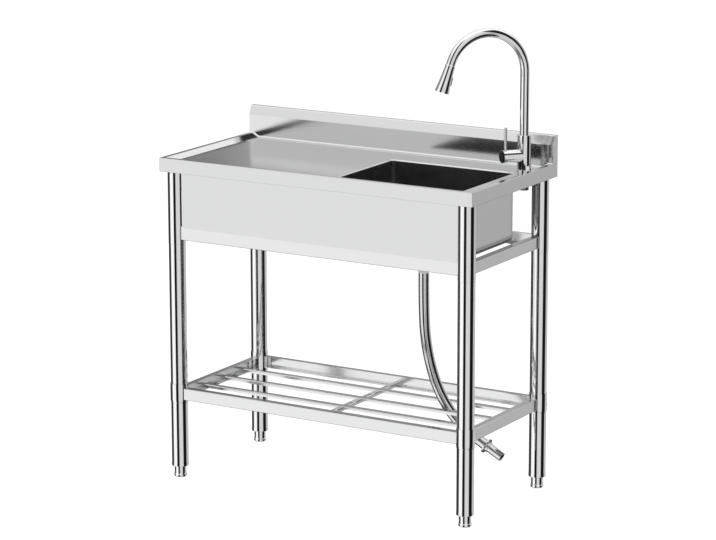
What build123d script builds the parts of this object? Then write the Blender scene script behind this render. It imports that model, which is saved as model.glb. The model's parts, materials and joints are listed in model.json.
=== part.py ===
"""Free-standing kitchen sink unit: pressed steel worktop with one bowl and a drainer deck,
tubular stand with a slatted shelf, a basket strainer with its waste hose, and a swivel tap.

X runs to the right as seen from the front, Y to the wall, Z up. The origin lies on the floor
under the middle of the unit. All sizes are in millimetres.
"""

import os
from math import atan2, cos, pi, radians, sin, tan

from build123d import *

os.makedirs("parts", exist_ok=True)

# ---- overall sizes ----
unit_width = 790.0
unit_depth = 392.0
rim_top = 737.0
backsplash_top = 800.0
sheet = 1.2
seat_gap = 0.2
cut_margin = 1.0

# ---- worktop ----
skirt_height = 31.0
skirt_return = 4.0
rim_flat = 11.0
rim_slope = 14.0
deck_drop = 9.0
rim_bend = 1.3
deck_land = 6.0

# ---- backsplash ----
backsplash_thickness = 21.5
backsplash_slant_height = 24.0
backsplash_slant_depth = 8.0
backsplash_bend = 3.0
scribe_gap = 0.4

# ---- bowl ----
bowl_length = 306.0
bowl_depth = 152.0
bowl_margin_right = 51.0
bowl_margin_front = 33.0
bowl_margin_rear = 107.0
bowl_corner = 10.0
bowl_bottom_bend = 9.5
bowl_flange = 5.0
drain_recess_radius = 58.0
drain_recess_depth = 3.0
drain_hole_radius = 43.5

# ---- stand ----
leg_inset_x = 26.5
leg_inset_y = 28.5
leg_radius = 19.0
leg_wall = 1.2
leg_bottom = 33.5
leg_joint_height = 541.0
socket_step = 0.3
socket_cap = 3.0
joiner_half_length = 30.0
joiner_wall = 1.5
rail_height = 32.0
rail_flange = 16.0
front_rail_flange = 11.0
rail_bend = 2.6
rail_inset_x = 20.0
rail_inset_y = 19.3
joint_to_rail = 10.0
apron_lap = 4.0
apron_flange = 6.5

# ---- shelf ----
shelf_rail_bottom = 181.5
sleeve_wall = 1.1
sleeve_height = 44.0
sleeve_drop = 7.0
sleeve_taper = 7.0
slat_width = 15.0
slat_lip = 7.5
slat_pitch = 81.0
slat_drop = 13.0
stiffener_width = 16.0
screw_radius = 2.4
screw_length = 3.0
screw_height = 9.0
screw_turn = 45.0

# ---- feet ----
foot_radius = 13.3
foot_base_radius = 14.3
foot_base_height = 6.0
foot_ring_height = 8.0
foot_ring_step = 0.4
foot_ring_round = 1.2
foot_chamfer = 1.5
foot_step = 1.0
foot_stem_radius = 4.9
foot_stem_length = 45.0
foot_insert_height = 22.0

# ---- drain ----
strainer_flange_radius = 55.0
strainer_flange_thickness = 1.6
strainer_cup_radius = 42.0
strainer_cup_depth = 30.0
strainer_wall = 1.6
strainer_lip = 1.0
outlet_radius = 19.0
outlet_length = 12.0
basket_radius = 38.0
basket_depth = 24.0
basket_rim = 2.0
basket_taper = 6.0
basket_overlap = 1.0
basket_hole_radius = 1.8
basket_hole_rings = (12.0, 20.0, 27.0)
basket_hole_pitch = 10.0
knob_radius = 8.0
knob_neck_radius = 4.0
knob_chamfer = 2.0
knob_rise = 4.0
washer_thickness = 3.0
washer_overhang = 2.0
lock_nut_radius = 52.0
lock_nut_height = 11.0
lock_nut_notches = 8
notch_length = 6.0
notch_width = 7.0
coupling_nut_radius = 25.0
coupling_nut_height = 13.0
coupling_nut_sides = 8
tail_top_radius = 17.0
tail_bottom_radius = 12.0
tail_cone_height = 18.0
tail_wall = 2.0

# ---- waste hose: the middle of its path, chosen to follow the hose as it hangs ----
hose_radius = 12.0
hose_drop = (
    (0.0, 0.0, 0.0),
    (0.0, 0.0, -82.0),
    (-6.0, 21.0, -166.0),
    (1.0, 45.0, -250.0),
    (26.0, 61.0, -316.0),
    (68.0, 67.0, -362.0),
    (121.5, 67.0, -390.5),
)
hose_bend_share = 0.45
collar_radius = 17.5
collar_thickness = 3.0
end_ring_radius = 11.5
end_ring_length = 6.0
end_spigot_radius = 6.8
end_pipe_radius = 7.5
end_pipe_length = 36.0
end_pipe_wall = 1.2

# ---- tap ----
tap_inset_x = 43.0
tap_inset_y = 77.0
tap_radius = 15.0
tap_hole_radius = 11.5
tap_base_radius = 15.6
tap_base_height = 3.0
tap_collar_height = 14.0
tap_joint_gap = 0.3
tap_body_top = 808.0
tap_turn = 230.0
tap_edge_round = 1.0
barrel_height = 34.0
barrel_radius = 14.0
barrel_stub_length = 30.0
handle_length = 20.0
handle_bore = 9.0
cap_thickness = 4.0
cap_crown = 2.5
cap_step = 0.4
lever_radius = 3.5
lever_length = 46.0
lever_inset = 6.5
lever_socket_depth = 5.0
cartridge_radius = 8.5
cartridge_end_gap = 2.0
shank_radius = 11.0
shank_drop = 42.0
shank_bore = 4.5
shank_bore_depth = 20.0
tap_washer_radius = 16.0
tap_washer_thickness = 2.5
tap_nut_radius = 15.0
tap_nut_height = 8.0
tap_nut_sides = 6

# ---- spout ----
spout_radius = 10.0
spout_wall = 1.2
spout_turn = 232.0
spout_spigot = 24.0
arch_start = 947.0
arch_radius = 89.0
arch_sweep = 161.0
arch_tail = 6.0
head_length = 61.0
head_top_radius = 11.0
head_end_radius = 16.0
flare_hollow = 0.5
head_collar_length = 6.0
head_bore_radius = 12.5
head_bore_depth = 8.0
head_lip = 0.8
face_thickness = 3.0
face_nozzles = 12
nozzle_ring_radius = 7.5
nozzle_radius = 0.9
button_length = 20.0
button_width = 9.0
button_proud = 1.2
button_depth = 3.0
button_travel = 1.0
button_round = 0.5
button_top_edges = 4

# ---- sizes that follow ----
half_width = unit_width / 2
half_depth = unit_depth / 2
skirt_bottom = rim_top - skirt_height
deck_top = rim_top - deck_drop
deck_under = deck_top - sheet
rim_width = rim_flat + rim_slope
backsplash_front = half_depth - backsplash_thickness
worktop_back = half_depth - sheet
leg_x = half_width - leg_inset_x
leg_y = half_depth - leg_inset_y
leg_places = {
    "front_left": (-leg_x, -leg_y),
    "front_right": (leg_x, -leg_y),
    "rear_left": (-leg_x, leg_y),
    "rear_right": (leg_x, leg_y),
}
side_rail_face = half_width - rail_inset_x
end_rail_face = half_depth - rail_inset_y
socket_radius = leg_radius + socket_step
leg_bore = leg_radius - leg_wall
upper_rail_bottom = leg_joint_height + joint_to_rail
upper_rail_top = upper_rail_bottom + rail_height
shelf_rail_top = shelf_rail_bottom + rail_height
sleeve_radius = leg_radius + seat_gap + sleeve_wall
sleeve_bottom = shelf_rail_bottom - sleeve_drop
slat_top = shelf_rail_top - slat_drop
bowl_width = unit_depth - bowl_margin_front - bowl_margin_rear
bowl_x = half_width - bowl_margin_right - bowl_length / 2
bowl_y = half_depth - bowl_margin_rear - bowl_width / 2
bowl_floor = deck_top - bowl_depth
recess_floor = bowl_floor - drain_recess_depth
strainer_seat = recess_floor + strainer_flange_thickness
cup_bottom = strainer_seat - strainer_cup_depth
bowl_under = recess_floor - sheet
outlet_bottom = cup_bottom - outlet_length
tail_bottom = outlet_bottom - tail_wall - tail_cone_height
tap_x = half_width - tap_inset_x
tap_y = half_depth - tap_inset_y
tap_direction = radians(tap_turn)


def save(piece, node):
    """Give the finished piece its name and write it as a STEP file."""
    piece.part.label = node
    export_step(piece.part, f"parts/{node}.step")


def folded_sheet(points, bend, side=Side.RIGHT):
    """Outline of a bent sheet: the points give its outer face, the sheet lies on the named side of them."""
    with BuildSketch(mode=Mode.PRIVATE) as outline:
        with BuildLine():
            FilletPolyline(*points, radius=bend)
            offset(amount=sheet, side=side)
        make_face()
    return outline.sketch


def ring(outer, inner):
    """Flat ring, drawn in the sketch that is open."""
    Circle(outer)
    Circle(inner, mode=Mode.SUBTRACT)


# ---- worktop: rim folded round three sides, deck with bowl and tap holes ----
rim_section = folded_sheet(
    [
        (skirt_return, skirt_bottom),
        (0, skirt_bottom),
        (0, rim_top),
        (rim_flat, rim_top),
        (rim_width, deck_top),
        (rim_width + deck_land, deck_top),
    ],
    rim_bend,
)
with BuildPart() as worktop:
    with BuildLine() as rim_path:
        Polyline(
            (-half_width, worktop_back),
            (-half_width, -half_depth),
            (half_width, -half_depth),
            (half_width, worktop_back),
        )
    with BuildSketch(Plane(origin=(-half_width, worktop_back, 0), x_dir=(1, 0, 0), z_dir=(0, -1, 0))):
        add(rim_section)
    sweep(transition=Transition.RIGHT)
    deck_inset = rim_width + deck_land / 2
    with BuildSketch(Plane.XY.offset(deck_under)):
        with Locations((0, (worktop_back - half_depth + deck_inset) / 2)):
            Rectangle(unit_width - 2 * deck_inset, worktop_back + half_depth - deck_inset)
    extrude(amount=sheet)
    with BuildSketch(Plane.XY.offset(deck_under)):
        with Locations((bowl_x, bowl_y)):
            RectangleRounded(bowl_length, bowl_width, bowl_corner)
        with Locations((tap_x, tap_y)):
            Circle(tap_hole_radius)
    extrude(amount=sheet, mode=Mode.SUBTRACT)
save(worktop, "worktop")

# ---- backsplash: folded upstand with closed ends, scribed over the rim ----
slant_foot = backsplash_top - backsplash_slant_height
slant_head = backsplash_front + backsplash_slant_depth
with BuildPart() as backsplash:
    with BuildSketch(Plane.YZ.offset(-half_width)):
        add(
            folded_sheet(
                [
                    (half_depth, skirt_bottom),
                    (half_depth, backsplash_top),
                    (slant_head, backsplash_top),
                    (backsplash_front, slant_foot),
                    (backsplash_front, deck_top),
                ],
                backsplash_bend,
                Side.LEFT,
            )
        )
    extrude(amount=unit_width)
    for end_plane in (-half_width, half_width - sheet):
        with BuildSketch(Plane.YZ.offset(end_plane)):
            with BuildLine():
                Polyline(
                    (backsplash_front + seat_gap, rim_top),
                    (backsplash_front + seat_gap, slant_foot),
                    (slant_head + seat_gap, backsplash_top - sheet),
                    (half_depth - sheet / 2, backsplash_top - sheet),
                    (half_depth - sheet / 2, rim_top),
                    close=True,
                )
            make_face()
        extrude(amount=sheet)
    for side in (-1, 1):
        with BuildSketch(Plane.XZ.offset(-backsplash_front)):
            with BuildLine():
                Polyline(
                    (side * (half_width - rim_width - scribe_gap), deck_top),
                    (side * (half_width - rim_flat - scribe_gap), rim_top),
                    (side * half_width, rim_top),
                    (side * half_width, skirt_bottom),
                    (side * (half_width - rim_width - scribe_gap), skirt_bottom),
                    close=True,
                )
            make_face()
        extrude(amount=-2 * sheet, mode=Mode.SUBTRACT)
save(backsplash, "backsplash")

# ---- bowl: deep pressing with a flange under the deck and a recess for the strainer ----
with BuildPart() as bowl:
    with BuildSketch(Plane.XY.offset(bowl_floor - sheet)):
        with Locations((bowl_x, bowl_y)):
            RectangleRounded(bowl_length + 2 * sheet, bowl_width + 2 * sheet, bowl_corner + sheet)
    extrude(amount=bowl_depth)
    fillet(bowl.edges().group_by(Axis.Z)[0], bowl_bottom_bend + sheet)
    offset(amount=-sheet, openings=bowl.faces().sort_by(Axis.Z)[-1])
    with BuildSketch(Plane.XY.offset(deck_under - sheet)):
        with Locations((bowl_x, bowl_y)):
            flange_corner = bowl_corner + sheet + bowl_flange
            flange_growth = 2 * (sheet + bowl_flange)
            RectangleRounded(bowl_length + flange_growth, bowl_width + flange_growth, flange_corner)
            RectangleRounded(bowl_length, bowl_width, bowl_corner, mode=Mode.SUBTRACT)
    extrude(amount=sheet)
    with BuildSketch(Plane.XY.offset(recess_floor - sheet)):
        with Locations((bowl_x, bowl_y)):
            Circle(drain_recess_radius + sheet)
    extrude(amount=drain_recess_depth + sheet)
    with BuildSketch(Plane.XY.offset(recess_floor)):
        with Locations((bowl_x, bowl_y)):
            Circle(drain_recess_radius)
    extrude(amount=drain_recess_depth + sheet, mode=Mode.SUBTRACT)
    with BuildSketch(Plane.XY.offset(recess_floor - sheet)):
        with Locations((bowl_x, bowl_y)):
            Circle(drain_hole_radius)
    extrude(amount=sheet, mode=Mode.SUBTRACT)
save(bowl, "bowl")

# ---- leg sockets, hanging from the deck, and the leg tubes below them ----
for place, (x, y) in leg_places.items():
    with BuildPart() as leg_socket:
        with BuildSketch(Plane.XY.offset(leg_joint_height)):
            with Locations((x, y)):
                ring(socket_radius, socket_radius - leg_wall)
        extrude(amount=deck_under - socket_cap - leg_joint_height)
        with BuildSketch(Plane.XY.offset(deck_under - socket_cap)):
            with Locations((x, y)):
                Circle(socket_radius)
        extrude(amount=socket_cap)
    save(leg_socket, f"leg_socket_{place}")

    with BuildPart() as leg_tube:
        with BuildSketch(Plane.XY.offset(leg_bottom)):
            with Locations((x, y)):
                ring(leg_radius, leg_bore)
        extrude(amount=leg_joint_height - leg_bottom)
    save(leg_tube, f"leg_tube_{place}")

# ---- leg joiners: short tubes inside the leg joints ----
joiner_radius = leg_bore - seat_gap
with BuildPart() as leg_joiners:
    with BuildSketch(Plane.XY.offset(leg_joint_height - joiner_half_length)):
        with Locations(*leg_places.values()):
            ring(joiner_radius, joiner_radius - joiner_wall)
    extrude(amount=2 * joiner_half_length)
save(leg_joiners, "leg_joiners")

# ---- threaded inserts in the leg ends, with a ring under each tube ----
ring_bottom = leg_bottom - foot_ring_height
insert_bore = foot_stem_radius + seat_gap
with BuildPart() as foot_inserts:
    with BuildSketch(Plane.XY.offset(ring_bottom)):
        with Locations(*leg_places.values()):
            Circle(leg_radius + foot_ring_step)
    extrude(amount=foot_ring_height)
    fillet(foot_inserts.edges().group_by(Axis.Z)[0], foot_ring_round)
    with BuildSketch(Plane.XY.offset(leg_bottom)):
        with Locations(*leg_places.values()):
            Circle(leg_bore - seat_gap)
    extrude(amount=foot_insert_height)
    with BuildSketch(Plane.XY.offset(ring_bottom)):
        with Locations(*leg_places.values()):
            Circle(insert_bore)
    extrude(amount=foot_ring_height + foot_insert_height, mode=Mode.SUBTRACT)
save(foot_inserts, "foot_inserts")

# ---- adjustable feet: turned foot with its threaded stem ----
foot_top = ring_bottom - seat_gap
for place, (x, y) in leg_places.items():
    with BuildPart() as foot:
        with BuildSketch(Plane.XZ.offset(-y)):
            with BuildLine():
                Polyline(
                    (x, 0),
                    (x + foot_base_radius - foot_chamfer, 0),
                    (x + foot_base_radius, foot_chamfer),
                    (x + foot_base_radius, foot_base_height),
                    (x + foot_radius, foot_base_height + foot_step),
                    (x + foot_radius, foot_top - foot_step),
                    (x + foot_radius - foot_step, foot_top),
                    (x + foot_stem_radius, foot_top),
                    (x + foot_stem_radius, foot_top + foot_stem_length),
                    (x, foot_top + foot_stem_length),
                    close=True,
                )
            make_face()
        revolve(axis=Axis((x, y, 0), (0, 0, 1)))
    save(foot, f"foot_{place}")


def channel_rail(profile_plane, length, bottom, face, inward, flange, clear_radius):
    """Channel rail, open to the inside, its ends scribed round the legs; inward is +1 or -1."""
    section = [
        (face + inward * flange, bottom),
        (face, bottom),
        (face, bottom + rail_height),
        (face + inward * flange, bottom + rail_height),
    ]
    if inward < 0:
        section.reverse()
    with BuildPart() as rail:
        with BuildSketch(profile_plane):
            add(folded_sheet(section, rail_bend))
        extrude(amount=length)
        with BuildSketch(Plane.XY.offset(bottom - cut_margin)):
            with Locations(*leg_places.values()):
                Circle(clear_radius)
        extrude(amount=rail_height + 2 * cut_margin, mode=Mode.SUBTRACT)
    return rail


# ---- upper frame and shelf frame: four channel rails each, the upper front one slim beside the bowl ----
for frame, bottom, front_flange, clear_radius in (
    ("upper_rail", upper_rail_bottom, front_rail_flange, socket_radius + seat_gap),
    ("shelf_rail", shelf_rail_bottom, rail_flange, sleeve_radius + seat_gap),
):
    for place, inward, flange in (("front", 1, front_flange), ("rear", -1, rail_flange)):
        across = channel_rail(
            Plane.YZ.offset(-leg_x),
            2 * leg_x,
            bottom,
            -inward * end_rail_face,
            inward,
            flange,
            clear_radius,
        )
        save(across, f"{frame}_{place}")
    for place, inward in (("left", 1), ("right", -1)):
        along = channel_rail(
            Plane.XZ.offset(-leg_y),
            2 * leg_y,
            bottom,
            -inward * side_rail_face,
            inward,
            rail_flange,
            clear_radius,
        )
        save(along, f"{frame}_{place}")

# ---- front apron: panel from the deck down over the front rail, flanged under the deck ----
apron_face = -end_rail_face - sheet
apron_bottom = upper_rail_top - apron_lap
with BuildPart() as front_apron:
    with BuildSketch(Plane.YZ.offset(-leg_x)):
        add(
            folded_sheet(
                [
                    (apron_face, apron_bottom),
                    (apron_face, deck_under),
                    (apron_face + sheet + apron_flange, deck_under),
                ],
                rail_bend,
            )
        )
    extrude(amount=2 * leg_x)
    with BuildSketch(Plane.XY.offset(apron_bottom - cut_margin)):
        with Locations(*leg_places.values()):
            Circle(socket_radius + seat_gap)
    extrude(amount=deck_under - apron_bottom + 2 * cut_margin, mode=Mode.SUBTRACT)
save(front_apron, "front_apron")

# ---- shelf sleeves: collars round the legs, tapered at both ends ----
for place, (x, y) in leg_places.items():
    with BuildPart() as shelf_sleeve:
        with BuildSketch(Plane.XZ.offset(-y)):
            bore = leg_radius + seat_gap
            edge = bore + sleeve_wall / 2
            with BuildLine():
                Polyline(
                    (x + bore, sleeve_bottom),
                    (x + edge, sleeve_bottom),
                    (x + sleeve_radius, sleeve_bottom + sleeve_taper),
                    (x + sleeve_radius, sleeve_bottom + sleeve_height - sleeve_wall),
                    (x + edge, sleeve_bottom + sleeve_height),
                    (x + bore, sleeve_bottom + sleeve_height),
                    close=True,
                )
            make_face()
        revolve(axis=Axis((x, y, 0), (0, 0, 1)))
    save(shelf_sleeve, f"shelf_sleeve_{place}")

# ---- grip screws that hold the sleeves on the legs, turned away from the rails ----
with BuildPart() as shelf_grip_screws:
    for place, (x, y) in leg_places.items():
        outward = 180 - screw_turn if x < 0 else screw_turn
        screw_plane = Plane(
            origin=(x, y, sleeve_bottom + sleeve_taper + screw_height),
            z_dir=(cos(radians(outward)), sin(radians(outward)), 0),
        )
        with BuildSketch(screw_plane.offset(sleeve_radius)):
            Circle(screw_radius)
        extrude(amount=screw_length / 2)
save(shelf_grip_screws, "shelf_grip_screws")

# ---- slats between the side rails and the stiffener under them ----
slat_end = side_rail_face - sheet
for place, slat_y in (("front", -slat_pitch), ("middle", 0.0), ("rear", slat_pitch)):
    with BuildPart() as shelf_slat:
        with BuildSketch(Plane.YZ.offset(-slat_end)):
            add(
                folded_sheet(
                    [
                        (slat_y - slat_width / 2, slat_top - slat_lip),
                        (slat_y - slat_width / 2, slat_top),
                        (slat_y + slat_width / 2, slat_top),
                        (slat_y + slat_width / 2, slat_top - slat_lip),
                    ],
                    rail_bend,
                )
            )
        extrude(amount=2 * slat_end)
    save(shelf_slat, f"shelf_slat_{place}")

stiffener_top = slat_top - slat_lip
stiffener_end = end_rail_face - sheet
with BuildPart() as shelf_stiffener:
    with BuildSketch(Plane.XZ.offset(-stiffener_end)):
        add(
            folded_sheet(
                [
                    (-stiffener_width / 2, stiffener_top - slat_lip),
                    (-stiffener_width / 2, stiffener_top),
                    (stiffener_width / 2, stiffener_top),
                    (stiffener_width / 2, stiffener_top - slat_lip),
                ],
                rail_bend,
            )
        )
    extrude(amount=2 * stiffener_end)
save(shelf_stiffener, "shelf_stiffener")

# ---- basket strainer: body with threaded cup and outlet ----
with BuildPart() as strainer_body:
    with BuildSketch(Plane.XZ.offset(-bowl_y)):
        with BuildLine():
            Polyline(
                (bowl_x + outlet_radius - strainer_wall, outlet_bottom),
                (bowl_x + outlet_radius, outlet_bottom),
                (bowl_x + outlet_radius, cup_bottom - strainer_wall),
                (bowl_x + strainer_cup_radius, cup_bottom - strainer_wall),
                (bowl_x + strainer_cup_radius, recess_floor),
                (bowl_x + strainer_flange_radius, recess_floor),
                (bowl_x + strainer_flange_radius - strainer_lip, strainer_seat),
                (bowl_x + strainer_cup_radius - strainer_wall, strainer_seat),
                (bowl_x + strainer_cup_radius - strainer_wall, cup_bottom),
                (bowl_x + outlet_radius - strainer_wall, cup_bottom),
                close=True,
            )
        make_face()
    revolve(axis=Axis((bowl_x, bowl_y, 0), (0, 0, 1)))
save(strainer_body, "strainer_body")

# ---- strainer basket: perforated cup with a rim and a knob, lifted out to empty it ----
basket_top = strainer_seat + seat_gap + basket_rim
basket_floor = basket_top - basket_depth
basket_rim_radius = strainer_cup_radius + basket_overlap
knob_top = basket_top + knob_rise
with BuildPart() as strainer_basket:
    with BuildSketch(Plane.XZ.offset(-bowl_y)):
        with BuildLine():
            Polyline(
                (bowl_x, basket_floor),
                (bowl_x + basket_radius - basket_taper, basket_floor),
                (bowl_x + basket_radius, basket_top - basket_rim),
                (bowl_x + basket_rim_radius, basket_top - basket_rim),
                (bowl_x + basket_rim_radius, basket_top),
                (bowl_x + basket_radius - sheet, basket_top),
                (bowl_x + basket_radius - basket_taper - sheet, basket_floor + sheet),
                (bowl_x + knob_neck_radius, basket_floor + sheet),
                (bowl_x + knob_neck_radius, knob_top - 2 * knob_rise),
                (bowl_x + knob_radius, knob_top - knob_rise - knob_chamfer),
                (bowl_x + knob_radius, knob_top - knob_chamfer),
                (bowl_x + knob_radius - knob_chamfer, knob_top),
                (bowl_x, knob_top),
                close=True,
            )
        make_face()
    revolve(axis=Axis((bowl_x, bowl_y, 0), (0, 0, 1)))
    with BuildSketch(Plane.XY.offset(basket_floor)):
        with Locations((bowl_x, bowl_y)):
            for ring_radius in basket_hole_rings:
                with PolarLocations(ring_radius, round(2 * pi * ring_radius / basket_hole_pitch)):
                    Circle(basket_hole_radius)
    extrude(amount=sheet, mode=Mode.SUBTRACT)
save(strainer_basket, "strainer_basket")

# ---- sealing washer and lock nut under the bowl ----
with BuildPart() as sealing_washer:
    with BuildSketch(Plane.XY.offset(bowl_under - washer_thickness)):
        with Locations((bowl_x, bowl_y)):
            ring(lock_nut_radius + washer_overhang, strainer_cup_radius + seat_gap)
    extrude(amount=washer_thickness)
save(sealing_washer, "sealing_washer")

lock_nut_top = bowl_under - washer_thickness
with BuildPart() as lock_nut:
    with BuildSketch(Plane.XY.offset(lock_nut_top - lock_nut_height)):
        with Locations((bowl_x, bowl_y)):
            ring(lock_nut_radius, strainer_cup_radius + seat_gap)
            with PolarLocations(lock_nut_radius, lock_nut_notches):
                SlotCenterToCenter(notch_length, notch_width, rotation=90, mode=Mode.SUBTRACT)
    extrude(amount=lock_nut_height)
save(lock_nut, "lock_nut")

# ---- tail piece with its coupling nut: the step down from the outlet to the hose ----
with BuildPart() as tail_piece:
    with BuildSketch(Plane.XZ.offset(-bowl_y)):
        with BuildLine():
            Polyline(
                (bowl_x + tail_bottom_radius - tail_wall, tail_bottom),
                (bowl_x + tail_bottom_radius, tail_bottom),
                (bowl_x + tail_top_radius, outlet_bottom - tail_wall),
                (bowl_x + outlet_radius, outlet_bottom - tail_wall),
                (bowl_x + outlet_radius, outlet_bottom),
                (bowl_x + tail_top_radius - tail_wall, outlet_bottom),
                (bowl_x + tail_top_radius - tail_wall, outlet_bottom - tail_wall),
                close=True,
            )
        make_face()
    revolve(axis=Axis((bowl_x, bowl_y, 0), (0, 0, 1)))
save(tail_piece, "tail_piece")

nut_bottom = outlet_bottom - 2 * tail_wall
with BuildPart() as coupling_nut:
    with BuildSketch(Plane.XY.offset(nut_bottom)):
        with Locations((bowl_x, bowl_y)):
            RegularPolygon(coupling_nut_radius, coupling_nut_sides)
    extrude(amount=coupling_nut_height)
    with BuildSketch(Plane.XY.offset(nut_bottom + tail_wall)):
        with Locations((bowl_x, bowl_y)):
            Circle(outlet_radius + seat_gap)
    extrude(amount=coupling_nut_height, mode=Mode.SUBTRACT)
    with BuildSketch(Plane.XY.offset(nut_bottom)):
        with Locations((bowl_x, bowl_y)):
            Circle(tail_top_radius + seat_gap)
    extrude(amount=tail_wall, mode=Mode.SUBTRACT)
save(coupling_nut, "coupling_nut")

# ---- waste hose: from the tail piece down through the shelf to its end fitting ----
hose_points = [Vector(bowl_x + dx, bowl_y + dy, tail_bottom + dz) for dx, dy, dz in hose_drop]
hose_runs = [b - a for a, b in zip(hose_points, hose_points[1:])]
hose_bends = []
for run, following in zip(hose_runs, hose_runs[1:]):
    half_turn = radians(run.get_angle(following)) / 2
    hose_bends.append(hose_bend_share * min(run.length, following.length) / tan(half_turn))
with BuildPart() as waste_hose:
    with BuildLine() as hose_path:
        FilletPolyline(*hose_points, radius=hose_bends)
    with BuildSketch(Plane(origin=hose_points[0], z_dir=hose_runs[0])):
        Circle(hose_radius)
    sweep()
save(waste_hose, "waste_hose")
hose_length = sum(edge.length for edge in hose_path.edges())
print("hose bends", [round(bend) for bend in hose_bends], "length", round(hose_length, 1))
print("hose volume over section", round(waste_hose.part.volume / (pi * hose_radius**2), 1))

# ---- hose end: collar, ring and pipe, in line with the last run ----
end_plane = Plane(origin=hose_points[-1], z_dir=hose_runs[-1])
with BuildPart() as hose_collar:
    with BuildSketch(end_plane):
        Circle(collar_radius)
    extrude(amount=collar_thickness)
    with BuildSketch(end_plane.offset(collar_thickness)):
        Circle(end_ring_radius)
    extrude(amount=end_ring_length)
    with BuildSketch(end_plane):
        Circle(end_spigot_radius + seat_gap)
    extrude(amount=collar_thickness + end_ring_length, mode=Mode.SUBTRACT)
save(hose_collar, "hose_collar")

pipe_shoulder = collar_thickness + end_ring_length
with BuildPart() as hose_end_pipe:
    with BuildSketch(end_plane.offset(seat_gap)):
        Circle(end_spigot_radius)
    extrude(amount=pipe_shoulder)
    with BuildSketch(end_plane.offset(pipe_shoulder)):
        Circle(end_pipe_radius)
    extrude(amount=end_pipe_length)
    with BuildSketch(end_plane.offset(seat_gap)):
        Circle(end_spigot_radius - end_pipe_wall)
    extrude(amount=pipe_shoulder + end_pipe_length, mode=Mode.SUBTRACT)
save(hose_end_pipe, "hose_end_pipe")

# ---- tap: base ring and collar on the deck ----
collar_bottom = deck_top + tap_base_height
with BuildPart() as tap_base_ring:
    with BuildSketch(Plane.XY.offset(deck_top)):
        with Locations((tap_x, tap_y)):
            ring(tap_base_radius, shank_radius + seat_gap)
    extrude(amount=tap_base_height)
    fillet(tap_base_ring.edges().group_by(Axis.Z)[-1].sort_by(SortBy.RADIUS)[-1], tap_edge_round)
save(tap_base_ring, "tap_base_ring")

with BuildPart() as tap_collar:
    with BuildSketch(Plane.XY.offset(collar_bottom)):
        with Locations((tap_x, tap_y)):
            ring(tap_radius, shank_radius + seat_gap)
    extrude(amount=tap_collar_height)
save(tap_collar, "tap_collar")

# ---- tap body: upright tube with the side barrel that holds the valve ----
body_bottom = collar_bottom + tap_collar_height + tap_joint_gap
barrel_axis_height = deck_top + barrel_height
barrel_plane = Plane(
    origin=(tap_x, tap_y, barrel_axis_height),
    x_dir=(-sin(tap_direction), cos(tap_direction), 0),
    z_dir=(cos(tap_direction), sin(tap_direction), 0),
)
cartridge_bottom = tap_radius + cartridge_end_gap
handle_start = barrel_stub_length + tap_joint_gap
with BuildPart() as tap_body:
    with BuildSketch(Plane.XY.offset(body_bottom)):
        with Locations((tap_x, tap_y)):
            Circle(tap_radius)
    extrude(amount=tap_body_top - body_bottom)
    fillet(tap_body.edges().group_by(Axis.Z)[-1], tap_edge_round)
    with BuildSketch(barrel_plane):
        Circle(barrel_radius)
    extrude(amount=barrel_stub_length)
    with BuildSketch(barrel_plane.offset(cartridge_bottom)):
        Circle(cartridge_radius + seat_gap)
    extrude(amount=barrel_stub_length, mode=Mode.SUBTRACT)
    with BuildSketch(Plane.XY.offset(tap_body_top - spout_spigot)):
        with Locations((tap_x, tap_y)):
            Circle(spout_radius + seat_gap)
    extrude(amount=spout_spigot, mode=Mode.SUBTRACT)
save(tap_body, "tap_body")

# ---- valve cartridge in the barrel, its stem reaching into the handle ----
with BuildPart() as valve_cartridge:
    with BuildSketch(barrel_plane.offset(cartridge_bottom)):
        Circle(cartridge_radius)
    extrude(amount=handle_start + handle_bore - cartridge_end_gap - cartridge_bottom)
save(valve_cartridge, "valve_cartridge")

# ---- handle: round end of the barrel, with its dark cap and pin lever ----
lever_reach = handle_start + handle_length - lever_inset
lever_foot = Location(
    (
        tap_x + lever_reach * cos(tap_direction),
        tap_y + lever_reach * sin(tap_direction),
        barrel_axis_height + barrel_radius - lever_socket_depth,
    )
)
with BuildPart() as tap_handle:
    with BuildSketch(barrel_plane.offset(handle_start)):
        Circle(barrel_radius)
    extrude(amount=handle_length)
    with BuildSketch(barrel_plane.offset(handle_start)):
        Circle(cartridge_radius + seat_gap)
    extrude(amount=handle_bore, mode=Mode.SUBTRACT)
    with BuildSketch(Plane(lever_foot)):
        Circle(lever_radius + seat_gap / 2)
    extrude(amount=lever_socket_depth + cut_margin, mode=Mode.SUBTRACT)
save(tap_handle, "tap_handle")

with BuildPart() as handle_cap:
    with BuildSketch(barrel_plane.offset(handle_start + handle_length)):
        Circle(barrel_radius - cap_step)
    extrude(amount=cap_thickness)
    cap_edge = handle_cap.edges().filter_by(GeomType.CIRCLE).sort_by(
        Axis((tap_x, tap_y, barrel_axis_height), tuple(barrel_plane.z_dir))
    )[-1]
    fillet(cap_edge, cap_crown)
save(handle_cap, "handle_cap")

with BuildPart() as lever_pin:
    with BuildSketch(Plane(lever_foot).offset(seat_gap)):
        Circle(lever_radius)
    extrude(amount=lever_length)
    fillet(lever_pin.edges().group_by(Axis.Z)[-1], tap_edge_round)
save(lever_pin, "lever_pin")

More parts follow.
